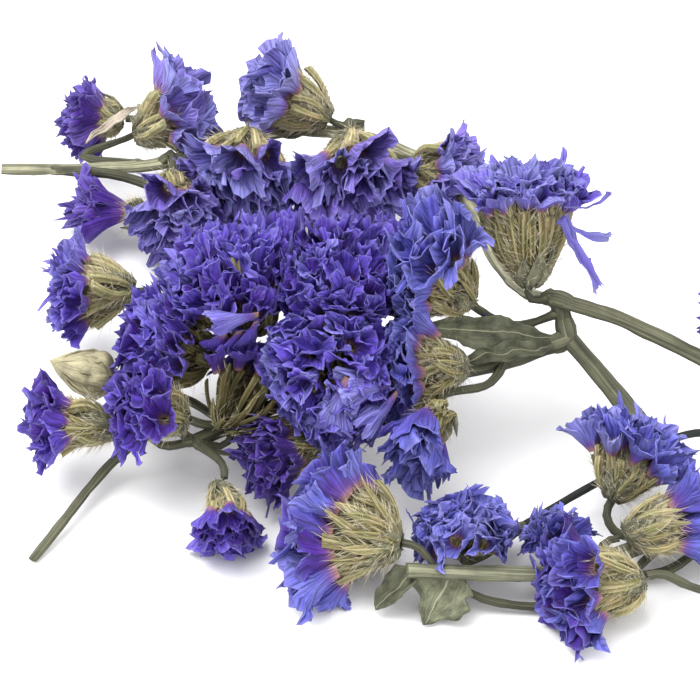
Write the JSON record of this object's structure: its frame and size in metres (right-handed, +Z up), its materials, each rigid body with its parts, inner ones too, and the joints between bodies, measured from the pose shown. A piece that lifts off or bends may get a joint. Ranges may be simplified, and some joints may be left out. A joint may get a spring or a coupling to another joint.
{
  "type": "dried statice spray",
  "caption": "Cut, branched stem of dried statice lying flat, with papery blue-violet calyx frills on fans of straw-coloured tubes, winged twigs and small dry leaves.",
  "frame": {"origin": "on the surface the branch lies on, under the middle of its bounding box", "axes": "+Z up from the surface, +X towards the cut end of the main stem, +Y towards the row of heads at the back"},
  "size_m": [0.1245, 0.0944, 0.0347],
  "materials": {
    "frill": "thin dry papery calyx frill, matt, blue-violet",
    "shaded_frill": "thin dry papery calyx frill, matt, deeper violet",
    "tube": "dry ribbed and hairy calyx tube, matt, straw and olive",
    "bud": "dry papery bud scales, matt, pale straw",
    "stem": "dry winged stem, rough, grey-olive"
  },
  "bodies": {
    "root": {"crown_frills": "frill", "crown_tubes": "tube", "flank_frills": "frill", "flank_tubes": "tube", "drape_frills": "frill", "drape_tubes": "tube", "cascade_frills": "frill", "cascade_tubes": "tube", "mass_rear_left_frills": "frill", "mass_rear_left_tubes": "tube", "mass_rear_right_frills": "frill", "mass_rear_right_tubes": "tube", "mass_left_frills": "frill", "mass_left_tubes": "tube", "mass_front_frills": "frill", "mass_front_tubes": "tube", "mass_low_frills": "frill", "mass_low_tubes": "tube", "west_frills": "frill", "west_tubes": "tube", "west_low_frills": "frill", "west_low_tubes": "tube", "knot_frills": "frill", "knot_tubes": "tube", "shade_frills": "shaded_frill", "shade_tubes": "tube", "dangle_frills": "frill", "dangle_tubes": "tube", "broad_frills": "frill", "broad_tubes": "tube", "low_front_frills": "frill", "low_front_tubes": "tube", "right_inner_frills": "frill", "right_inner_tubes": "tube", "right_under_frills": "frill", "right_under_tubes": "tube", "right_upper_frills": "frill", "right_upper_tubes": "tube", "right_outer_frills": "frill", "right_outer_tubes": "tube", "far_right_frills": "frill", "far_right_tubes": "tube", "back_tip_frills": "shaded_frill", "back_tip_tubes": "tube", "back_high_frills": "shaded_frill", "back_high_tubes": "tube", "back_crest_frills": "shaded_frill", "back_crest_tubes": "tube", "back_row_frills": "shaded_frill", "back_row_tubes": "tube", "back_row_right_frills": "shaded_frill", "back_row_right_tubes": "tube", "back_hang_frills": "shaded_frill", "back_hang_tubes": "tube", "back_low_frills": "shaded_frill", "back_low_tubes": "tube", "back_right_frills": "shaded_frill", "back_right_tubes": "tube", "bud": "bud", "stem": "stem"}
  },
  "joints": []
}
